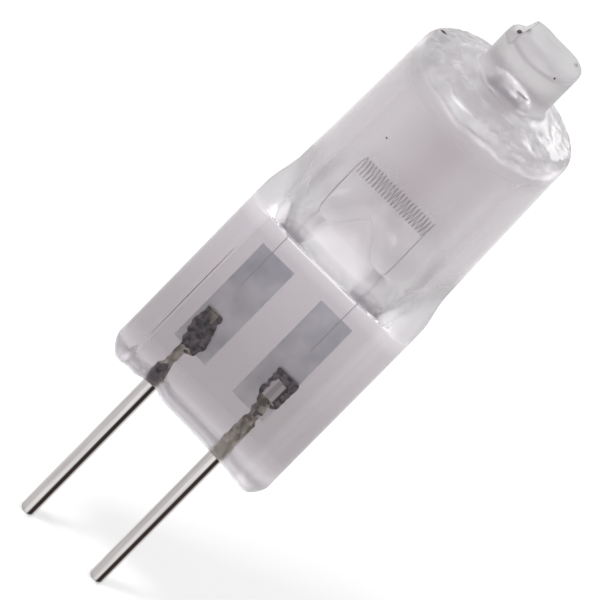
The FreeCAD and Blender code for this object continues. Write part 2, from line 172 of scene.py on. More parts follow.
class MetalSettings(bpy.types.PropertyGroup):
    """Sizes and colours of the metal in the seal and outside it."""

    wire: length("Wire", "Diameter of the filament's wire", 0.05)
    crumple: length("Crumple", "Height of the crumples in the sealed metal", 0.1)
    coil_points: whole("Coil points", "Points for each turn of the coil", 16)
    coil_turns: whole("Coil turns", "Whole turns of the coil", 22)
    pin_points: whole("Pin points", "Points round each pin", 48)
    tungsten: hue("Tungsten", "Drawn tungsten wire", "#E0DEDE")
    tungsten_dark: hue("Tungsten dark", "Dark lines of the drawn tungsten wire", "#C4C2C2")
    foil: hue("Foil", "Rolled molybdenum foil at its foot", "#FFFFFF")
    foil_dark: hue("Foil dark", "Rolled molybdenum foil at its top", "#F1F3F7")
    foil_patch: hue("Foil patch", "Shade of the foil's cloudy patches", "#D3D6DA")
    # Painted reflection: the pin's bright, grey and dark tones lie across each pin, dark at its right.
    pin: hue("Pin", "Drawn molybdenum pin", "#F0EDEC")
    pin_reflection_grey: hue("Pin grey", "Grey lines of the drawn pin", "#CFCACA")
    pin_reflection_dark: hue("Pin dark", "Dark line of the drawn pin", "#3A302F")
    pin_grain: hue("Pin grain", "Shade of the drawn pin's fine scratches", "#C4C2C2")
    weld: hue("Weld", "Burnt metal of the welds", "#1E1A1E")
    weld_light: hue("Weld light", "Paler specks of the welds", "#8C8088")
    sealed: hue("Sealed metal", "Dull metal sealed in the glass", "#D6D1C4")
    sealed_dark: hue("Sealed metal dark", "Darker patches of the sealed metal", "#6E685C")


class StageSettings(bpy.types.PropertyGroup):
    """Camera, light and floor."""

    elevation: tilt("Elevation", "Camera above the horizon", 23)
    roll: tilt("Roll", "Turn of the lamp in the picture", 44.56)
    aim_right: length("Aim right", "Aim point to the right of the lamp's axis", -0.03)
    aim_height: length("Aim height", "Aim point above the foot of the pinch", 7.21)
    distance: length("Distance", "Camera to aim point", 500)
    view_width: length("View width", "Width of the picture at the aim point", 24.6)
    floor_size: length("Floor size", "Side of the square floor", 900)


def add(tree, kind, settings=None, **links):
    """Adds one node.

    Settings are its attributes and input values, and links are inputs that another node's output feeds.
    """
    node = tree.nodes.new(kind)
    for name, value in (settings or {}).items():
        if hasattr(node, name) and name not in node.inputs:
            setattr(node, name, value)
        else:
            node.inputs[int(name) if name.isdigit() else name].default_value = value
    for name, output in links.items():
        key = int(name[1:]) if name[0] == "_" and name[1:].isdigit() else name.replace("_", " ")
        tree.links.new(output, node.inputs[key])
    return node


def new_material(name):
    """A new material with no nodes yet, and its node tree."""
    material = bpy.data.materials.new(name)
    material.use_nodes = True
    material.node_tree.nodes.clear()
    return material, material.node_tree


def ramped(tree, value, stops):
    """A colour or level that follows a value, and stays the same before the first stop and after the last.

    Stops are pairs of a value and of a colour or a plain level.
    """
    low, high = stops[0][0], stops[-1][0]
    part = add(tree, "ShaderNodeMapRange", {"From Min": low, "From Max": high}, Value=value)
    node = add(tree, "ShaderNodeValToRGB", Fac=part.outputs["Result"])
    colours = [(tone, tone, tone, 1.0) if isinstance(tone, float) else tone for _, tone in stops]
    elements = node.color_ramp.elements
    elements[0].color, elements[-1].color = colours[0], colours[-1]
    for (place, _), colour in zip(stops[1:-1], colours[1:-1]):
        elements.new((place - low) / (high - low)).color = colour
    return node.outputs["Color"]


def object_axes(tree):
    """The object's own coordinates, together and one by one."""
    place = add(tree, "ShaderNodeTexCoord").outputs["Object"]
    return place, add(tree, "ShaderNodeSeparateXYZ", _0=place).outputs


def glass_shader(material, tree, colour, roughness, place):
    """Fused quartz, softer to the eye where it is rough."""
    # The flame leaves slow waves, one every 3 mm or so and a few thousandths of a millimetre high.
    waves = add(tree, "ShaderNodeTexNoise", {"Scale": 0.3 / MM, "Detail": 1.0}, Vector=place).outputs["Fac"]
    bump = add(tree, "ShaderNodeBump", {"Strength": 0.2, "Distance": 0.008 * MM}, Height=waves)
    glass = add(
        tree,
        "ShaderNodeBsdfPrincipled",
        {"IOR": QUARTZ_IOR, "Transmission Weight": 1.0},
        Base_Color=colour,
        Roughness=roughness,
        Normal=bump.outputs["Normal"],
    )
    add(tree, "ShaderNodeOutputMaterial", Surface=glass.outputs["BSDF"])
    return material


def skin_glass(glass):
    """Fused quartz of the outer skin, blown and polished by the flame, and pressed at the pinch."""
    # To the eye it is grey in pinch and tip, lighter in bulb and dome, and clear in the flare. The grey is
    # partly the quartz's own smoky tint and partly painted shade; the pale foot, clear flare and clear tip
    # end are painted light. The foot, the dome and the tip's end look a little frosted.
    material, tree = new_material("fused_quartz_skin")
    place, axes = object_axes(tree)
    pinch, top = glass.pinch_height, GLASS_HIGH.z
    bulb_top = pinch + glass.shoulder + glass.bulb_length
    by_height = ramped(tree, axes["Z"], [
        (0.25 * MM, glass.foot_tint),
        (0.75 * MM, glass.seal_top_tint),
        (1.3 * MM, glass.seal_tint),
        (3.5 * MM, glass.seal_tint),
        (pinch - 0.8 * MM, glass.seal_top_tint),
        (pinch, glass.flare_painted_light),
        (pinch + 1.8 * MM, glass.flare_painted_light),
        (pinch + 3.6 * MM, glass.bulb_tint),
        (bulb_top - 1.3 * MM, glass.bulb_tint),
        (bulb_top - 0.1 * MM, glass.dome_tint),
        (bulb_top + 0.7 * MM, glass.dome_tint),
        (bulb_top + 1.3 * MM, glass.tip_tint),
        (top - 0.4 * MM, glass.tip_tint),
        (top - 0.15 * MM, glass.flare_painted_light),
    ])
    # Painted light: the skin is left clear at the back, over the mound, so that the mound looks lit.
    clear = mound_light(tree, axes, glass, pinch - 0.8 * MM, 1)
    by_height = add(tree, "ShaderNodeMix", TO_WHITE, _0=clear, _6=by_height).outputs[2]
    # Painted light: the back of the exhaust tip's end is left clear, so that the end looks lit.
    back_and_up = add(tree, "ShaderNodeMath", {"operation": "ADD"}, _0=axes["Y"], _1=axes["Z"]).outputs[0]
    tip_back = ramped(tree, back_and_up, [(top - 0.8 * MM, 0.0), (top - 0.2 * MM, 1.0)])
    in_tip = ramped(tree, axes["Z"], [(bulb_top + 0.7 * MM, 0.0), (bulb_top + MM, 1.0)])
    tip_painted_light = add(tree, "ShaderNodeMix", MULTIPLIED, _6=tip_back, _7=in_tip).outputs[2]
    by_height = add(tree, "ShaderNodeMix", TO_WHITE, _0=tip_painted_light, _6=by_height).outputs[2]
    # Painted shade and light across: the pinch is darker inside the jaws' prints and lighter at and past
    # their edges, and the bulb has painted bands of shade and light from side to side.
    print_edge = glass.recess_width / 2
    pinch_painted_shade = ramped(tree, axes["X"], [
        (GLASS_LOW.x, 1.1),
        (-print_edge - 0.45 * MM, 1.02),
        (-print_edge, 0.96),
        (-print_edge + 0.15 * MM, 0.89),
        (print_edge - 0.4 * MM, 0.89),
        (print_edge - 0.1 * MM, 1.0),
        (print_edge + 0.2 * MM, 1.0),
        (print_edge + 0.5 * MM, 0.9),
        (GLASS_HIGH.x, 0.92),
    ])
    bulb_painted_shade = ramped(tree, axes["X"], [
        (GLASS_LOW.x, 0.84),
        (-3.9 * MM, 0.85),
        (-3.4 * MM, 0.89),
        (1.2 * MM, 0.89),
        (2.3 * MM, 0.8),
        (3.05 * MM, 0.86),
        (3.35 * MM, 0.92),
        (3.65 * MM, 0.9),
        (3.9 * MM, 0.8),
    ])
    in_bulb = ramped(tree, axes["Z"], [(pinch - 0.2 * MM, 0.0), (pinch + 0.8 * MM, 1.0)])
    across = add(tree, "ShaderNodeMix", BY_PART, _0=in_bulb, _6=pinch_painted_shade, _7=bulb_painted_shade).outputs[2]
    across = add(tree, "ShaderNodeMix", TO_WHITE, _0=clear, _6=across).outputs[2]
    tint = add(tree, "ShaderNodeMix", MULTIPLIED, _6=by_height, _7=across).outputs[2]
    softness = ramped(tree, axes["Z"], [
        (0.0, 0.45),
        (0.9 * MM, 0.3),
        (1.8 * MM, 0.06),
        (pinch - 0.7 * MM, 0.05),
        (pinch, 0.1),
        (pinch + 2.2 * MM, 0.14),
        (pinch + 3.8 * MM, 0.04),
        (bulb_top - 1.3 * MM, 0.04),
        (bulb_top - 0.6 * MM, 0.22),
        (bulb_top + 0.7 * MM, 0.3),
        (top - 0.8 * MM, 0.35),
        (top - 0.4 * MM, 0.6),
    ])
    corners = corner_softness(tree, axes, glass, 3.2 * MM)
    softness = add(tree, "ShaderNodeMix", ADDED, _6=softness, _7=corners).outputs[2]
    return glass_shader(material, tree, tint, softness, place)


def mound_light(tree, axes, glass, foot, side):
    """1 in a tent shape above a foot height and 0 elsewhere: painted light, clear glass so the mound looks
    lit.

    Side is 1 for the lamp's back and -1 for its front.
    """
    aside = add(tree, "ShaderNodeMath", {"operation": "SUBTRACT", "1": glass.mound_middle}, _0=axes["X"])
    far = add(tree, "ShaderNodeMath", {"operation": "ABSOLUTE"}, _0=aside.outputs[0]).outputs[0]
    risen = add(tree, "ShaderNodeMath", {"operation": "SUBTRACT", "1": foot}, _0=axes["Z"]).outputs[0]
    up = add(tree, "ShaderNodeMath", {"operation": "MAXIMUM", "1": 0.0}, _0=risen).outputs[0]
    reach = add(tree, "ShaderNodeMath", {"operation": "ADD"}, _0=far, _1=up).outputs[0]
    depth = add(tree, "ShaderNodeMath", {"operation": "MULTIPLY", "1": side}, _0=axes["Y"]).outputs[0]
    tent = ramped(tree, reach, [(1.75 * MM, 1.0), (2.4 * MM, 0.0)])
    above = ramped(tree, risen, [(-0.15 * MM, 0.0), (0.15 * MM, 1.0)])
    half = ramped(tree, depth, [(0.2 * MM, 0.0), (0.8 * MM, 1.0)])
    tent = add(tree, "ShaderNodeMix", MULTIPLIED, _6=tent, _7=above).outputs[2]
    return add(tree, "ShaderNodeMix", MULTIPLIED, _6=tent, _7=half).outputs[2]


def corner_softness(tree, axes, glass, start):
    """Roughness added where the flare's glass is thick and wrinkled, from start outwards to both sides."""
    full = start + 0.5 * MM
    by_side = ramped(tree, axes["X"], [(-full, 0.5), (-start, 0.0), (start, 0.0), (full, 0.5)])
    foot = glass.pinch_height
    flare_top = foot + glass.shoulder
    rows = [(foot, 0.0), (foot + 0.4 * MM, 1.0), (flare_top, 1.0), (flare_top + 1.2 * MM, 0.0)]
    by_height = ramped(tree, axes["Z"], rows)
    return add(tree, "ShaderNodeMix", MULTIPLIED, _6=by_side, _7=by_height).outputs[2]


def bore_glass(glass):
    """Fused quartz of the sealed hollow's skin, as the blown bulb left it."""
    # To the eye it is grey in the flare and in its middle, clear at its sides and soft at the ceiling. The
    # grey in the middle, in the flare and in the exhaust passage is painted shade, and the clear windows
    # before and behind the mound are painted light.
    material, tree = new_material("fused_quartz_bore")
    place, axes = object_axes(tree)
    side = GLASS_HIGH.y - glass.wall
    middle, edge = 0.1 * side, 0.85 * side
    by_side = ramped(tree, axes["X"], [
        (-edge, glass.bore_side_tint),
        (-middle, glass.bore_painted_shade),
        (middle, glass.bore_painted_shade),
        (edge, glass.bore_side_tint),
    ])
    floor = glass.pinch_height + glass.floor_gap
    bulb_top = glass.pinch_height + glass.shoulder + glass.bulb_length
    ceiling = bulb_top - glass.wall
    rows = [(ceiling, glass.bore_side_tint), (bulb_top - 0.3 * MM, glass.passage_painted_shade)]
    by_height = ramped(tree, axes["Z"], rows)
    rows = [(floor + 0.3 * MM, 0.0), (floor + 1.6 * MM, 1.0), (ceiling - MM, 1.0), (ceiling, 0.0)]
    on_wall = ramped(tree, axes["Z"], rows)
    colour = add(tree, "ShaderNodeMix", BY_PART, _0=on_wall, _6=by_height, _7=by_side).outputs[2]
    # Painted shade in the flare, with windows of painted light before and behind the mound.
    bore_flare_shade = ramped(tree, axes["Z"], [(floor + 2.8 * MM, 0.77), (floor + 3.8 * MM, 1.0)])
    behind = mound_light(tree, axes, glass, floor, 1)
    before = mound_light(tree, axes, glass, floor + 0.7 * MM, -1)
    clear = add(tree, "ShaderNodeMix", ADDED, _6=behind, _7=before).outputs[2]
    bore_flare_shade = add(tree, "ShaderNodeMix", TO_WHITE, _0=clear, _6=bore_flare_shade).outputs[2]
    colour = add(tree, "ShaderNodeMix", MULTIPLIED, _6=colour, _7=bore_flare_shade).outputs[2]
    softness = ramped(tree, axes["Z"], [
        (floor + 1.2 * MM, 0.12),
        (floor + 2.4 * MM, 0.07),
        (ceiling - 1.4 * MM, 0.07),
        (ceiling - 0.4 * MM, 0.36),
        (bulb_top - 0.5 * MM, 0.36),
        (bulb_top, 0.16),
    ])
    corners = corner_softness(tree, axes, glass, 2.9 * MM)
    softness = add(tree, "ShaderNodeMix", ADDED, _6=softness, _7=corners).outputs[2]
    return glass_shader(material, tree, colour, softness, place)


def milky_glass(glass):
    """Fused quartz of the hollow's floor and mound, pushed up by the press and milky with fine bubbles."""
    # To the eye it is a dark floor with a pale back rim, and a pale mound. The dark floor is painted shade,
    # and the pale bands along its back rim are painted highlights. Its IOR is far below that of clear quartz,
    # so that the light from behind comes through nearly straight.
    material, tree = new_material("fused_quartz_milky")
    place, axes = object_axes(tree)
    # The bubbles are too fine to show, so they are drawn 0.4 mm apart.
    bubbles = add(tree, "ShaderNodeTexNoise", {"Scale": 2.5 / MM, "Detail": 3.0}, Vector=place).outputs["Fac"]
    bump = add(tree, "ShaderNodeBump", {"Strength": 0.2, "Distance": 0.02 * MM}, Height=bubbles)
    half = glass.floor_depth / 2
    # Painted along the depth: the floor dark as shade, with pale bands at its back as the rim's highlights.
    rim_and_lens_painted = ramped(tree, axes["Y"], [
        (0.15 * half, glass.floor_painted_shade),
        (0.25 * half, glass.mound_tint_and_rim_highlight),
        (0.42 * half, glass.mound_tint_and_rim_highlight),
        (0.55 * half, glass.floor_painted_shade),
        (0.68 * half, glass.mound_tint_and_rim_highlight),
    ])
    floor = glass.pinch_height + glass.floor_gap
    rows = [(floor + 0.05 * MM, 0.0), (floor + 0.3 * MM, 1.0)]
    risen = ramped(tree, axes["Z"], rows)
    to_mound = {"data_type": "RGBA", "7": tuple(glass.mound_tint_and_rim_highlight)}
    tone = add(tree, "ShaderNodeMix", to_mound, _0=risen, _6=rim_and_lens_painted)
    milk = add(
        tree,
        "ShaderNodeBsdfPrincipled",
        {"Roughness": 0.5, "IOR": 1.12, "Transmission Weight": 1.0},
        Base_Color=tone.outputs[2],
        Normal=bump.outputs["Normal"],
    )
    add(tree, "ShaderNodeOutputMaterial", Surface=milk.outputs["BSDF"])
    return material


def metal_shader(material, tree, colour, roughness, relief, relief_height):
    """Bare metal with a fine relief."""
    bump = add(tree, "ShaderNodeBump", {"Strength": 0.4, "Distance": relief_height}, Height=relief)
    skin = add(
        tree,
        "ShaderNodeBsdfPrincipled",
        {"Metallic": 1.0, "Roughness": roughness},
        Base_Color=colour,
        Normal=bump.outputs["Normal"],
    )
    add(tree, "ShaderNodeOutputMaterial", Surface=skin.outputs["BSDF"])
    return material


def grained(name, colour, dark, roughness, per_mm, stretch, relief_height):
    """A bare metal with lighter and darker patches, so many to a millimetre.

    They are longer along Z where stretch is below 1.
    """
    material, tree = new_material(name)
    place, _ = object_axes(tree)
    stretched = add(tree, "ShaderNodeMapping", {"Scale": (1, 1, stretch)}, Vector=place).outputs[0]
    texture = {"Scale": per_mm / MM, "Detail": 4.0}
    grain = add(tree, "ShaderNodeTexNoise", texture, Vector=stretched).outputs["Fac"]
    part = add(tree, "ShaderNodeMapRange", {"From Min": 0.35, "From Max": 0.65}, Value=grain)
    tones = {"data_type": "RGBA", "6": tuple(colour), "7": tuple(dark)}
    tone = add(tree, "ShaderNodeMix", tones, _0=part.outputs["Result"]).outputs[2]
    return metal_shader(material, tree, tone, roughness, grain, relief_height)


def rolled_foil(sizes):
    """Molybdenum foil, rolled thin and etched, then wetted by the hot glass."""
    # To the eye it is dull blue grey with cloudy patches under 2 mm wide, and paler towards its foot.
    material, tree = new_material("molybdenum_foil_rolled")
    place, axes = object_axes(tree)
    down = {"From Min": LEFT_FOIL_HIGH.z, "From Max": LEFT_FOIL_LOW.z}
    fall = add(tree, "ShaderNodeMapRange", down, Value=axes["Z"]).outputs["Result"]
    clouds = {"Scale": 0.6 / MM, "Detail": 3.0}
    patches = add(tree, "ShaderNodeTexNoise", clouds, Vector=place).outputs["Fac"]
    spread = add(tree, "ShaderNodeMapRange", {"From Min": 0.3, "From Max": 0.7}, Value=patches)
    shades = {"data_type": "RGBA", "6": WHITE, "7": tuple(sizes.foil_patch)}
    shade = add(tree, "ShaderNodeMix", shades, _0=spread.outputs["Result"]).outputs[2]
    tones = {"data_type": "RGBA", "6": tuple(sizes.foil_dark), "7": tuple(sizes.foil)}
    tone = add(tree, "ShaderNodeMix", tones, _0=fall).outputs[2]
    tone = add(tree, "ShaderNodeMix", MULTIPLIED, _6=tone, _7=shade).outputs[2]
    return metal_shader(material, tree, tone, 0.45, patches, 0.02 * MM)


def pin_with_painted_reflection(sizes):
    """Molybdenum wire, drawn through a die, with its reflection painted on."""
    # Painted reflection: bright in its middle, a long dark line at its right, grey at its left, pale rims.
    material, tree = new_material("molybdenum_pin_drawn_with_painted_reflection")
    place, axes = object_axes(tree)
    side = add(tree, "ShaderNodeMath", {"operation": "SIGN"}, _0=axes["X"]).outputs[0]
    to_axis = {"operation": "MULTIPLY", "1": RIGHT_PIN_X}
    middle = add(tree, "ShaderNodeMath", to_axis, _0=side).outputs[0]
    across = add(tree, "ShaderNodeMath", {"operation": "SUBTRACT"}, _0=axes["X"], _1=middle).outputs[0]
    half = PIN_RADIUS
    # Painted reflection across the pin: pale rim, grey band, bright highlight, dark line, pale rim.
    lines = ramped(tree, across, [
        (-half, sizes.pin),
        (-0.8 * half, sizes.pin_reflection_grey),
        (-0.3 * half, sizes.pin_reflection_grey),
        (-0.1 * half, sizes.pin),
        (0.2 * half, sizes.pin),
        (0.38 * half, sizes.pin_reflection_dark),
        (0.74 * half, sizes.pin_reflection_dark),
        (0.9 * half, sizes.pin),
    ])
    # The die's scratches are too fine to show, so they are drawn nine to a millimetre, and 25 times as long.
    stretched = add(tree, "ShaderNodeMapping", {"Scale": (1, 1, 0.04)}, Vector=place).outputs[0]
    grain = add(tree, "ShaderNodeTexNoise", {"Scale": 9 / MM, "Detail": 3.0}, Vector=stretched).outputs["Fac"]
    shades = {"data_type": "RGBA", "6": WHITE, "7": tuple(sizes.pin_grain)}
    shade = add(tree, "ShaderNodeMix", shades, _0=grain).outputs[2]
    tone = add(tree, "ShaderNodeMix", MULTIPLIED, _6=lines, _7=shade).outputs[2]
    return metal_shader(material, tree, tone, 0.3, grain, 0.01 * MM)


def drawn_tungsten(sizes):
    """Tungsten wire, drawn through a die and wound hot."""
    # To the eye it is pale grey with faint darker streaks. Real scratches are too fine to show, so they
    # are drawn four to a millimetre.
    return grained("tungsten_drawn", sizes.tungsten, sizes.tungsten_dark, 0.45, 4, 0.2, 0.005 * MM)


def burnt_weld(sizes):
    """Molybdenum of the welds, burnt when it was welded."""
    # To the eye it is nearly black, with grey specks about 0.2 mm wide.
    return grained("molybdenum_weld_burnt", sizes.weld, sizes.weld_light, 0.5, 5.2, 1, 0.03 * MM)


def dull_molybdenum(sizes):
    """Molybdenum that only the hot glass touched."""
    # To the eye it is a dull brown grey, with darker patches about 0.3 mm wide and 0.5 mm high.
    return grained("molybdenum_sealed_dull", sizes.sealed, sizes.sealed_dark, 0.5, 3, 0.6, 0.03 * MM)


def soot_stone_and_shade(sizes):
    """Soot and stone, burnt into the quartz by the flame, and painted shade at the exhaust tip's chip."""
    # To the eye it is nearly black. Its grain is too fine to show, so it is drawn nine to a millimetre.
    return grained("soot_and_shade_in_quartz", sizes.weld, sizes.weld_light, 0.7, 9, 1, 0.01 * MM)


def way(value, low, high):
    """How far a value is on its way from low to high, from 0 to 1."""
    return min(max((value - low) / (high - low), 0.0), 1.0)


def smooth(value, low, high):
    """A smooth rise from 0 at low to 1 at high."""
    part = way(value, low, high)
    return part * part * (3 - 2 * part)


def between(low, high, part):
    """The value at a part of the way from low to high."""
    return low + (high - low) * part


def shares(count, start=1):
    """The shares of a run that are done after each of a count of equal steps, from step start on."""
    return [step / count for step in range(start, count + 1)]


def lathe(rings, points):
    """A tube of unit radius with one ring of points at each whole height, made by a full spin."""
    tube = bmesh.new()
    line = [tube.verts.new((1, 0, ring)) for ring in range(rings)]
    edges = [tube.edges.new(pair) for pair in zip(line, line[1:])]
    bmesh.ops.spin(
        tube,
        geom=line + edges,
        cent=(0, 0, 0),
        axis=(0, 0, 1),
        angle=2 * math.pi,
        steps=points,
        use_merge=True,
    )
    return tube


def shaped_skin(stations, points, place):
    """A closed skin: the lathe's rings, with each point moved to where place puts it and the ends welded."""
    skin = lathe(len(stations), points)
    for vertex in skin.verts:
        station = stations[round(vertex.co.z)]
        vertex.co = place(station, math.atan2(vertex.co.y, vertex.co.x))
    bmesh.ops.remove_doubles(skin, verts=skin.verts, dist=1e-7)
    bmesh.ops.recalc_face_normals(skin, faces=skin.faces)
    return skin


def pressed_point(angle, half_width, half_depth, corner):
    """A point on a rounded rectangle, at the same share of its outline as the angle is of a full turn."""
    side, front, bend = half_depth - corner, half_width - corner, corner * math.pi / 2
    quarter = abs(math.atan2(abs(math.sin(angle)), abs(math.cos(angle)))) / (math.pi / 2)
    run = quarter * (side + bend + front)
    if run < side:
        x, y = half_width, run
    elif run < side + bend:
        turn = (run - side) / corner
        x, y = front + corner * math.cos(turn), side + corner * math.sin(turn)
    else:
        x, y = front - (run - side - bend), half_depth
    return math.copysign(x, math.cos(angle)), math.copysign(y, math.sin(angle))


def wave(point, per_mm, seed):
    """A random wave between about -1 and 1, so many to a millimetre, and the same in each run."""
    return noise.noise(Vector(point) * (per_mm / MM) + Vector((seed, seed, seed)))


class BuildGlass(bpy.types.Operator):
    """Model the quartz envelope with its sealed hollow"""

    bl_idname = "bulb.build_glass"
    bl_label = "Glass envelope"

    def execute(self, context):
        glass = context.scene.bulb_glass
        outer = glass_outer(glass)
        hollow = glass_hollow(glass)
        bmesh.ops.reverse_faces(hollow, faces=hollow.faces)
        floor = glass.pinch_height + glass.floor_gap
        rim_front, rim_top = 0.2 * MM, floor + 0.12 * MM
        for face in hollow.faces:
            centre = face.calc_center_median()
            inside = math.hypot(centre.x / glass.floor_width, centre.y / glass.floor_depth) < 0.5
            # The floor's back rim takes the milky finish, whose pale bands paint its highlights.
            rim = centre.y > rim_front and centre.z < rim_top
            milky = rim or (inside and centre.z < floor + glass.mound_height)
            face.material_index = MILKY if milky else BORE
        inner = bpy.data.meshes.new("hollow")
        hollow.to_mesh(inner)
        hollow.free()
        outer.from_mesh(inner)
        bpy.data.meshes.remove(inner)
        finishes = {SKIN: skin_glass(glass), BORE: bore_glass(glass), MILKY: milky_glass(glass)}
        piece = finished("glass_envelope_blown", outer, finishes.values())
        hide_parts("glass_envelope")
        return {"FINISHED"}


def finished(name, mesh_in_progress, materials):
    """Turns a bmesh into a smooth shaded piece that rides on the lamp's one body."""
    mesh = bpy.data.meshes.new(name)
    mesh_in_progress.to_mesh(mesh)
    mesh_in_progress.free()
    for material in materials:
        mesh.materials.append(material)
    for polygon in mesh.polygons:
        polygon.use_smooth = True
    piece = bpy.data.objects.new(name, mesh)
    bpy.context.scene.collection.objects.link(piece)
    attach(piece, "root")
    return piece


def along(rows, value):
    """A value read from rows of pairs, straight between them."""
    for (low, first), (high, second) in zip(rows, rows[1:]):
        if value <= high:
            return between(first, second, way(value, low, high))
    return rows[-1][1]


# How far the foot of the pinch lies above its flat, from left to right, in millimetres.
FOOT_LINE = (
    (-4.4, 0.45), (-3.8, 0.12), (-2.8, 0.1), (-2.3, 0.25), (-1.7, 0.3), (-1.2, 0.1),
    (0.0, 0.06), (1.6, 0.0), (2.4, -0.04), (3.3, -0.17), (4.0, -0.12), (4.4, 0.1),
)


def wall_and_dome(glass, counts, radii, top, bend, slope, end):
    """Rings of a round wall, of the bend at its top and of the cone up to end, a height and a radius.

    Counts are the rings of the three, and radii are the wall's, at its foot and at the bulb's top.
    """
    foot = glass.pinch_height + glass.shoulder
    centre_r, centre_z = radii[1] - bend, top - bend * math.tan((math.pi / 2 - slope) / 2)
    for share in shares(counts[0]):
        height = between(foot, centre_z, share)
        yield "round", 0.0, height, between(*radii, (height - foot) / glass.bulb_length)
    for share in shares(counts[1]):
        turn = (math.pi / 2 - slope) * share
        yield "round", 0.0, centre_z + bend * math.sin(turn), centre_r + bend * math.cos(turn)
    start_r, start_z = centre_r + bend * math.sin(slope), centre_z + bend * math.cos(slope)
    for share in shares(counts[2]):
        yield "round", 0.0, between(start_z, end[0], share), between(start_r, end[1], share)


def flared(x, y, radius, circle, part):
    """A point on the way from the pinch's section to the round one. Its depth grows sooner than its width."""
    x = between(x, radius * circle[0], (1 - math.cos(math.pi * part)) / 2)
    return x, between(y, radius * circle[1], math.sin(math.pi / 2 * part))


def glass_outer(glass):
    """The outer skin: foot, pinch with its prints, shoulder, bulb, dome and exhaust tip."""
    half_width = (GLASS_HIGH.x - GLASS_LOW.x) / 2
    half_depth = glass.pinch_depth / 2
    shoulder_top = glass.pinch_height + glass.shoulder
    bulb_top = shoulder_top + glass.bulb_length
    dome_top = bulb_top + glass.dome_rise
    top = GLASS_HIGH.z
    tip_r, fillet = glass.tip_diameter / 2, glass.tip_foot_round
    reach_r = tip_r + fillet

    def profile():
        """Kind, inset, height and radius of each ring.

        They run from the middle of the foot to the middle of the tip's end.
        """
        foot = glass.foot_round
        for share in shares(14, 0)[:-1]:
            yield "pinch", between(half_depth, foot, share), 0.0, 0.0
        for share in shares(12, 0):
            turn = math.pi / 2 * share
            yield "pinch", foot * (1 - math.sin(turn)), foot * (1 - math.cos(turn)), 0.0
        flat_top = glass.pinch_height - 0.4 * MM
        for share in shares(30):
            yield "pinch", 0.0, between(foot, flat_top, share), 0.0
        for share in shares(60):
            yield "pinch", 0.0, between(flat_top, shoulder_top, share), 0.0
        radii = glass.bulb_foot / 2, glass.bulb_top / 2
        slope = math.atan2(glass.dome_rise, radii[1] - tip_r)
        end = dome_top, reach_r
        yield from wall_and_dome(glass, (26, 16, 16), radii, bulb_top, glass.dome_round, slope, end)
        for share in shares(8):
            turn = math.pi / 2 * share
            yield "tip", 0.0, dome_top + fillet * (1 - math.cos(turn)), reach_r - fillet * math.sin(turn)
        edge = glass.tip_edge
        for share in shares(20):
            yield "tip", 0.0, between(dome_top + fillet, top - edge, share), tip_r
        for share in shares(10):
            turn = math.pi / 2 * share
            yield "tip", 0.0, top - edge * (1 - math.sin(turn)), tip_r - edge * (1 - math.cos(turn))
        for share in shares(20):
            yield "tip", 0.0, top, (tip_r - edge) * (1 - share)

    def chipped(point):
        """The exhaust tip's end, with a chip off its left side and its front edge melted down."""
        above = smooth(point.z, top - 1.1 * MM, top)
        chip = glass.chip * smooth(-point.x, 1.05 * MM, 1.3 * MM)
        melted = glass.melt * smooth(-point.y, 0.1 * MM, 1.7 * MM)
        rough = glass.ripple * (wave(point, 1.5, 5) - 1)
        point.z += above * (rough - max(chip, melted))
        return point

    def place(station, angle):
        kind, inset, height, radius = station
        circle = math.cos(angle), math.sin(angle)
        if kind != "pinch":
            if kind == "tip" and circle[1] > 0:
                # The back of the tip is squarer towards its end.
                power = between(1.0, 0.62, smooth(height, top - 1.6 * MM, top - 0.3 * MM))
                circle = math.copysign(abs(circle[0]) ** power, circle[0]), circle[1] ** power
            spot = Vector((radius * circle[0], radius * circle[1], height))
            if kind == "tip":
                return chipped(spot)
            in_dome = smooth(height, bulb_top - 1.5 * MM, bulb_top)
            in_dome *= smooth(radius, reach_r, reach_r + 0.5 * MM)
            spot.z -= glass.ripple * in_dome * (1 + 1.6 * wave(spot, 1.1, 3) + wave(spot, 2.6, 4))
            return spot
        corner = max(glass.pinch_corner - inset, 1e-6)
        depth = max(half_depth - inset, 1e-6)
        x, y = pressed_point(angle, half_width - inset, depth, min(corner, depth))
        part = way(height, glass.pinch_height, shoulder_top)
        x, y = flared(x, y, glass.bulb_foot / 2, circle, part)
        # The prints end in a crease that rises at its sides, with a bead over it. Their left edge is sharper.
        edge = glass.recess_width / 2
        crease = glass.pinch_height + 0.25 * MM * min(abs(x) / edge, 1.0) ** 6
        blur = (0.18 if x < 0 else 0.4) * MM
        printed = smooth(edge - abs(x), -blur, blur) * smooth(crease - height, -0.05 * MM, 0.05 * MM)
        past = (height - crease - 0.06 * MM) / (0.1 * MM)
        bead = glass.bead * math.exp(-(past**2)) * smooth(edge - abs(x), 0, MM)
        y -= math.copysign(min(glass.recess_depth * printed, abs(y)) - bead, y)
        lift = along(FOOT_LINE, x / MM) * MM * (1 - smooth(height, 0.3 * MM, 2 * MM))
        return Vector((x, y, height + lift))

    return shaped_skin(list(profile()), glass.ring_points, place)


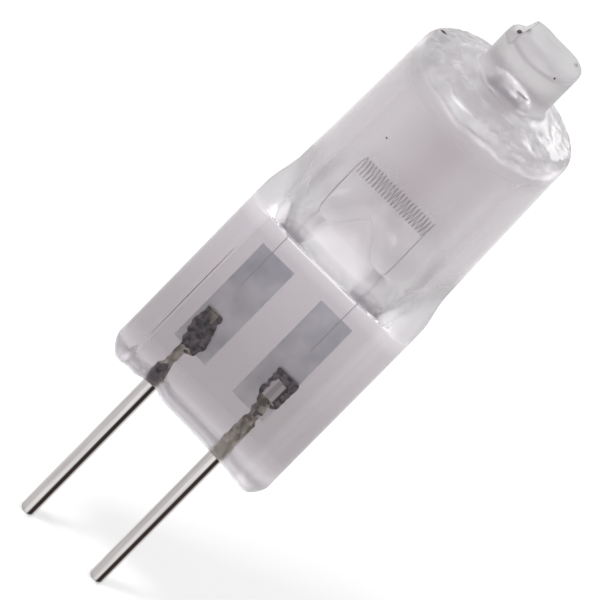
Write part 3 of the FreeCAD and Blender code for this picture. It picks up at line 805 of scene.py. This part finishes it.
def glass_hollow(glass):
    """The skin of the sealed hollow: floor with its mound, flare, wall, ceiling and exhaust passage."""
    floor = glass.pinch_height + glass.floor_gap
    shoulder_top = glass.pinch_height + glass.shoulder
    bulb_top = shoulder_top + glass.bulb_length
    dome_top = bulb_top + glass.dome_rise
    r_foot, r_top = glass.bulb_foot / 2 - glass.wall, glass.bulb_top / 2 - glass.wall
    ceiling = bulb_top - glass.wall
    passage_foot, passage_top = dome_top - glass.wall, dome_top + glass.passage_depth
    passage_r = glass.passage_width / 2
    half_width, half_depth = glass.floor_width / 2, glass.floor_depth / 2

    def profile():
        """Kind, inset, height and radius of each ring, from the middle of the floor to the passage's end."""
        for share in shares(24, 0)[:-1]:
            yield "floor", half_depth * (1 - share), floor, 0.0
        for share in shares(50, 0):
            yield "floor", 0.0, between(floor, shoulder_top, share), 0.0
        slope = math.atan2(passage_foot - ceiling, r_top - passage_r)
        end = passage_foot, passage_r
        yield from wall_and_dome(glass, (20, 12, 12), (r_foot, r_top), ceiling, glass.bore_corner, slope, end)
        for share in shares(20):
            turn = math.pi / 2 * share
            height = between(passage_foot, passage_top, math.sin(turn))
            yield "round", 0.0, height, passage_r * math.cos(turn) ** 0.7

    def place(station, angle):
        kind, inset, height, radius = station
        circle = math.cos(angle), math.sin(angle)
        if kind == "round":
            spot = Vector((radius * circle[0], radius * circle[1], height))
            spot.z += 3 * glass.ripple * smooth(height, ceiling - 0.6 * MM, ceiling) * wave(spot, 1, 9)
            return spot
        part = way(height, floor, shoulder_top)
        x, y = (half_width - inset) * circle[0], (half_depth - inset) * circle[1]
        x, y = flared(x, y, r_foot, circle, part)
        away = abs(x - glass.mound_middle) / (glass.mound_width / 2)
        flank = max(1 - max(away, abs(y) / half_depth), 0) if part == 0 else 0
        rise = glass.mound_height * (flank**0.9)
        return Vector((x, y, height + rise))

    skin = shaped_skin(list(profile()), glass.ring_points, place)
    low, high = floor + 0.02 * MM, floor + glass.mound_height + MM
    mound = [vertex for vertex in skin.verts if low < vertex.co.z < high and abs(vertex.co.y) < half_depth]
    axes = {"use_axis_x": True, "use_axis_y": True, "use_axis_z": True}
    for _ in range(glass.mound_rounds):
        bmesh.ops.smooth_vert(skin, verts=mound, factor=0.5, **axes)
    return skin


class BuildFilament(bpy.types.Operator):
    """Wind the filament as one wire with two straight legs"""

    bl_idname = "bulb.build_filament"
    bl_label = "Filament"

    def execute(self, context):
        sizes = context.scene.bulb_metal
        half = (COIL_HIGH.x - COIL_LOW.x) / 2 - sizes.wire / 2
        shift = (COIL_HIGH.x + COIL_LOW.x) / 2
        radius = (COIL_HIGH.y - COIL_LOW.y) / 2 - sizes.wire / 2
        middle = COIL_HIGH.z - (COIL_HIGH.y - COIL_LOW.y) / 2
        foot = COIL_LOW.z
        weld_y = LEFT_FOIL_LOW.y - sizes.wire / 2
        # The legs stand in the foil's plane up to the bend, and lean from there to the coil's front and back.
        bend = context.scene.bulb_glass.pinch_height + 1.5 * MM
        rise = 1.2 * MM
        points = [(-half, weld_y, foot), (-half, weld_y, bend), (-half, -radius, bend + rise)]
        count = int((sizes.coil_turns + 0.5) * sizes.coil_points)
        for step in range(count + 1):
            angle = 2 * math.pi * step / sizes.coil_points
            x = between(-half, half, step / count)
            points.append((x, -radius * math.cos(angle), middle + radius * math.sin(angle)))
        points += [(half, radius, bend + rise), (half, weld_y, bend), (half, weld_y, foot)]
        curve = bpy.data.curves.new("filament_wound", "CURVE")
        curve.dimensions = "3D"
        curve.bevel_depth = sizes.wire / 2
        curve.bevel_resolution = 2
        curve.use_fill_caps = True
        line = curve.splines.new("POLY")
        line.points.add(len(points) - 1)
        for spot, point in zip(line.points, points):
            spot.co = (point[0] + shift, point[1], point[2], 1)
        curve.materials.append(drawn_tungsten(sizes))
        piece = bpy.data.objects.new("filament_wound", curve)
        context.scene.collection.objects.link(piece)
        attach(piece, "root")
        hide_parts("filament")
        return {"FINISHED"}


class BuildFoils(bpy.types.Operator):
    """Give the foils their rolled molybdenum finish"""

    bl_idname = "bulb.build_foils"
    bl_label = "Foils"

    def execute(self, context):
        sizes = context.scene.bulb_metal
        finish = rolled_foil(sizes)
        for node in ("left_foil", "right_foil"):
            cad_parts[node].data.materials.clear()
            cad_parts[node].data.materials.append(finish)
        return {"FINISHED"}


# The pins' outlines in the seal, in millimetres: height, half width, half depth and shift to the right.
LEFT_SEALED = (
    (0.0, 0.35, 0.35, 0.0), (0.25, 0.35, 0.34, -0.04), (0.95, 0.33, 0.32, -0.1), (1.14, 0.24, 0.22, -0.1),
    (1.24, 0.19, 0.12, -0.1), (2.1, 0.19, 0.1, -0.1), (2.26, 0.36, 0.11, 0.08), (2.7, 0.5, 0.12, 0.1),
    (3.1, 0.56, 0.12, 0.0), (3.6, 0.5, 0.12, -0.08), (4.0, 0.42, 0.11, -0.14), (4.3, 0.4, 0.1, -0.15),
    (4.38, 0.36, 0.08, -0.15),
)
RIGHT_SEALED = (
    (0.0, 0.35, 0.35, 0.0), (0.25, 0.34, 0.34, -0.02), (1.95, 0.32, 0.31, -0.03), (2.12, 0.24, 0.22, -0.04),
    (2.24, 0.21, 0.12, -0.06), (2.6, 0.3, 0.12, -0.12), (2.85, 0.22, 0.11, -0.12), (3.1, 0.4, 0.11, -0.12),
    (3.3, 0.56, 0.11, -0.1), (4.45, 0.57, 0.1, -0.1), (4.6, 0.54, 0.1, -0.1), (4.65, 0.5, 0.08, -0.1),
)


def pin_skin(axis_x, low, sealed, sizes):
    """One pin as a closed skin: drawn rod, shank in the glass, neck and crumpled weld plate."""
    chamfer, plate_edge = 0.12 * MM, 0.09 * MM
    reach = sealed[-1][0] * MM
    widths, depths, shifts = ([(row[0], row[column]) for row in sealed] for column in (1, 2, 3))

    def profile():
        """Height and inset of each ring, from the middle of the pin's end to that of the plate's end."""
        for share in shares(6, 0)[:-1]:
            yield low, between(PIN_RADIUS, chamfer, share)
        for share in shares(4, 0):
            yield low + chamfer * share, chamfer * (1 - share)
        for share in shares(40):
            yield between(low + chamfer, 0.0, share), 0.0
        for share in shares(110):
            yield reach * share, 0.0
        for share in shares(6):
            yield reach, plate_edge * share

    def place(station, angle):
        height, inset = station
        level = max(height, 0.0) / MM
        width = max(along(widths, level) * MM - inset, 1e-6)
        depth = max(along(depths, level) * MM - inset, 1e-6)
        x, y = pressed_point(angle, width, depth, min(width, depth))
        # The crumples start inside the glass. They are weaker on the shank, and run sideways on the plate.
        flat = smooth(height, 2.2 * MM, 2.6 * MM)
        strength = sizes.crumple * between(0.4, 1.0, flat) * smooth(height, 0.1 * MM, 0.6 * MM)
        rough = strength * wave(Vector((x, y, height)), 3.6, axis_x / MM)
        x += rough * math.cos(angle) * 1.4
        y += rough * math.sin(angle) * between(1.0, 0.4, flat)
        return Vector((x + axis_x + along(shifts, level) * MM, y, height))

    return shaped_skin(list(profile()), sizes.pin_points, place)


def weld_part(axis_x, sealed, spot):
    """Which finish a spot on a pin has: the drawn rod's, the burnt weld's or the dull sealed metal's."""
    height = spot.z / MM
    if height < 0.02:
        return ROD
    centre = axis_x / MM + along([(row[0], row[3]) for row in sealed], height)
    across = (spot.x / MM - centre) / along([(row[0], row[1]) for row in sealed], height)
    jag = 0.25 * wave(spot, 5, 2)
    if axis_x < 0:
        # The left pin is burnt on its shank's head and its weld plate, but for the middle of the plate's top.
        head = 0.25 < height + jag < 1.15 and across + jag < 0.55
        plate = height + jag > 2.3
        plate_top = height + jag > 4.0 and abs(across) < 0.5
        return BURNT if head or (plate and not plate_top) else DULL
    # The right pin is burnt round the sides and top of its weld plate and in spots below it.
    rim = height + jag > 3.15 and (abs(across + jag) > 0.62 or height + 0.3 * jag > 4.25)
    spots = 2.2 < height < 3.2 and wave(spot, 4.2, 7) > 0.12
    if rim or spots:
        return BURNT
    # Above 3.3 mm the plate's middle takes the rod's finish, with its painted reflection.
    return ROD if height > 3.3 else DULL


class BuildPins(bpy.types.Operator):
    """Model the drawn pins with their crumpled welds"""

    bl_idname = "bulb.build_pins"
    bl_label = "Pins"

    def execute(self, context):
        sizes = context.scene.bulb_metal
        finishes = {ROD: pin_with_painted_reflection(sizes), BURNT: burnt_weld(sizes), DULL: dull_molybdenum(sizes)}
        for node, axis_x, sealed in (
            ("left_pin", -RIGHT_PIN_X, LEFT_SEALED),
            ("right_pin", RIGHT_PIN_X, RIGHT_SEALED),
        ):
            skin = pin_skin(axis_x, CAD_BOX[0].z, sealed, sizes)
            for face in skin.faces:
                face.material_index = weld_part(axis_x, sealed, face.calc_center_median())
            piece = finished(f"{node}_drawn", skin, finishes.values())
            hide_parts(node)
        return {"FINISHED"}


# Specks in the glass, in millimetres: middle and half sizes.
SPECKS = (
    ((-3.43, -1.5, 4.86), (0.014, 0.03, 2.75)),
    ((-2.13, -3.4, 16.4), (0.045, 0.03, 0.045)),
    # These two dark specks sit on the chip's steep wall and paint its shade.
    ((-1.05, 0.3, 22.42), (0.07, 0.06, 0.26)),
    ((-1.3, 0.2, 22.3), (0.12, 0.06, 0.12)),
    ((1.02, -1.35, 22.55), (0.05, 0.03, 0.05)),
    ((-3.5, 0.3, 19.93), (0.16, 0.1, 0.06)),
    ((-0.45, -1.3, 20.1), (0.07, 0.03, 0.05)),
    ((0.5, -0.9, 20.95), (0.28, 0.03, 0.035)),
    ((1.28, 1.05, 22.62), (0.07, 0.07, 0.08)),
)


class BuildSpecks(bpy.types.Operator):
    """Add the few dark specks and the seam line that the glass shows"""

    bl_idname = "bulb.build_specks"
    bl_label = "Specks"

    def execute(self, context):
        specks = bmesh.new()
        for middle, half in SPECKS:
            turn = Matrix.Translation(Vector(middle) * MM) @ Matrix.Diagonal((*(Vector(half) * MM), 1))
            bmesh.ops.create_icosphere(specks, subdivisions=3, radius=1.0, matrix=turn)
        soot = soot_stone_and_shade(context.scene.bulb_metal)
        finished("glass_specks", specks, [soot])
        return {"FINISHED"}


class BuildStage(bpy.types.Operator):
    """Set the pale floor, the studio light and the camera"""

    bl_idname = "bulb.build_stage"
    bl_label = "Stage"

    def execute(self, context):
        stage = context.scene.bulb_stage
        make_floor(stage)
        make_world()
        make_lamps()
        make_camera(stage)
        context.scene.view_settings.view_transform = "Standard"
        paths = context.scene.cycles
        paths.max_bounces = paths.glossy_bounces = paths.transmission_bounces = LIGHT_BOUNCES
        return {"FINISHED"}


def make_floor(stage):
    """A white floor under the pins' ends, which the picture shows as plain white with the lamp's shadow."""
    mesh = bpy.data.meshes.new("floor")
    plate = bmesh.new()
    bmesh.ops.create_grid(plate, x_segments=1, y_segments=1, size=stage.floor_size / 2)
    bmesh.ops.translate(plate, verts=plate.verts, vec=(0, 0, CAD_BOX[0].z))
    plate.to_mesh(mesh)
    plate.free()
    floor = bpy.data.objects.new("floor", mesh)
    bpy.context.scene.collection.objects.link(floor)
    material, tree = new_material("white_floor")
    # The paint takes the shadow, and the glow brings what is seen of it up to the background's white.
    matt = add(tree, "ShaderNodeBsdfDiffuse", {"Color": (0.8, 0.8, 0.8, 1)})
    level = add(tree, "ShaderNodeMath", {"operation": "MULTIPLY", "1": 0.35}, _0=ray_seen(tree))
    glow = add(tree, "ShaderNodeEmission", {"Color": WHITE}, Strength=level.outputs[0])
    both = add(tree, "ShaderNodeAddShader", _0=matt.outputs[0], _1=glow.outputs[0])
    add(tree, "ShaderNodeOutputMaterial", Surface=both.outputs[0])
    mesh.materials.append(material)


def ray_seen(tree):
    """1 for rays that see the background directly, in a mirror or through glass, and 0 for the rest."""
    path = add(tree, "ShaderNodeLightPath").outputs
    seen = path["Is Camera Ray"]
    for kind in ("Is Glossy Ray", "Is Transmission Ray"):
        seen = add(tree, "ShaderNodeMath", {"operation": "MAXIMUM"}, _0=seen, _1=path[kind]).outputs[0]
    return seen


def make_world():
    """White for rays that see it, and a soft fill for the rest."""
    world = bpy.data.worlds.new("studio")
    bpy.context.scene.world = world
    world.use_nodes = True
    tree = world.node_tree
    tree.nodes.clear()
    seen = ray_seen(tree)
    level = add(tree, "ShaderNodeMapRange", {"To Min": 0.55, "To Max": 1.0}, Value=seen)
    back = add(tree, "ShaderNodeBackground", {"Color": WHITE}, Strength=level.outputs["Result"])
    add(tree, "ShaderNodeOutputWorld", Surface=back.outputs[0])


def make_lamps():
    """Soft boxes: one high at the left, one at the right and one behind."""
    aim = Vector((0, 0, 8 * MM))
    # Place and side are in millimetres, and power is in watts.
    for name, spot, side, power in (
        ("left_softbox", (-120, -140, 260), 60, 0.3),
        ("right_softbox", (220, -60, 120), 60, 0.1),
        ("back_softbox", (40, 240, 130), 90, 0.1),
    ):
        light = bpy.data.lights.new(name, "AREA")
        light.shape = "SQUARE"
        light.size = side * MM
        light.energy = power
        lamp = bpy.data.objects.new(name, light)
        lamp.location = Vector(spot) * MM
        lamp.rotation_euler = (aim - lamp.location).to_track_quat("-Z", "Y").to_euler()
        bpy.context.scene.collection.objects.link(lamp)


def make_camera(stage):
    """The picture's view: from the front and above, with the lamp's top to the upper right."""
    camera = bpy.data.cameras.new("camera")
    camera.sensor_width = 36
    camera.lens = camera.sensor_width * stage.distance / stage.view_width
    camera.clip_start = 1 * MM
    camera.clip_end = 10
    eye = bpy.data.objects.new("camera", camera)
    level = Vector((0, math.cos(stage.elevation), -math.sin(stage.elevation)))
    up = Vector((0, math.sin(stage.elevation), math.cos(stage.elevation)))
    right = Vector((1, 0, 0))
    turned_right = right * math.cos(stage.roll) + up * math.sin(stage.roll)
    turned_up = up * math.cos(stage.roll) - right * math.sin(stage.roll)
    turn = Matrix((turned_right, turned_up, -level)).transposed()
    target = Vector((stage.aim_right, 0, stage.aim_height))
    eye.matrix_world = Matrix.Translation(target - level * stage.distance) @ turn.to_4x4()
    bpy.context.scene.collection.objects.link(eye)
    bpy.context.scene.camera = eye


class BulbPanel(bpy.types.Panel):
    """The bulb's pieces and their settings in the sidebar"""

    bl_idname = "VIEW3D_PT_bulb"
    bl_label = "Halogen capsule bulb"
    bl_space_type = "VIEW_3D"
    bl_region_type = "UI"
    bl_category = "Bulb"

    def draw(self, context):
        for settings, operators in (
            (context.scene.bulb_glass, (BuildGlass, BuildSpecks)),
            (context.scene.bulb_metal, (BuildFilament, BuildFoils, BuildPins)),
            (context.scene.bulb_stage, (BuildStage,)),
        ):
            box = self.layout.box()
            for name in settings.__annotations__:
                box.prop(settings, name)
            for operator in operators:
                box.operator(operator.bl_idname)


GROUPS = {"bulb_glass": GlassSettings, "bulb_metal": MetalSettings, "bulb_stage": StageSettings}
OPERATORS = (BuildGlass, BuildFilament, BuildFoils, BuildPins, BuildSpecks, BuildStage)
CLASSES = (*GROUPS.values(), *OPERATORS, BulbPanel)


def register():
    """Adds the settings, the operators and the panel to Blender."""
    for cls in CLASSES:
        bpy.utils.register_class(cls)
    for name, group in GROUPS.items():
        setattr(bpy.types.Scene, name, bpy.props.PointerProperty(type=group))


def unregister():
    """Takes out what register added."""
    for name in GROUPS:
        delattr(bpy.types.Scene, name)
    for cls in reversed(CLASSES):
        bpy.utils.unregister_class(cls)


def main():
    """Builds the whole scene."""
    register()
    bpy.ops.bulb.build_glass()
    bpy.ops.bulb.build_filament()
    bpy.ops.bulb.build_foils()
    bpy.ops.bulb.build_pins()
    bpy.ops.bulb.build_specks()
    bpy.ops.bulb.build_stage()


if __name__ == "__main__":
    main()
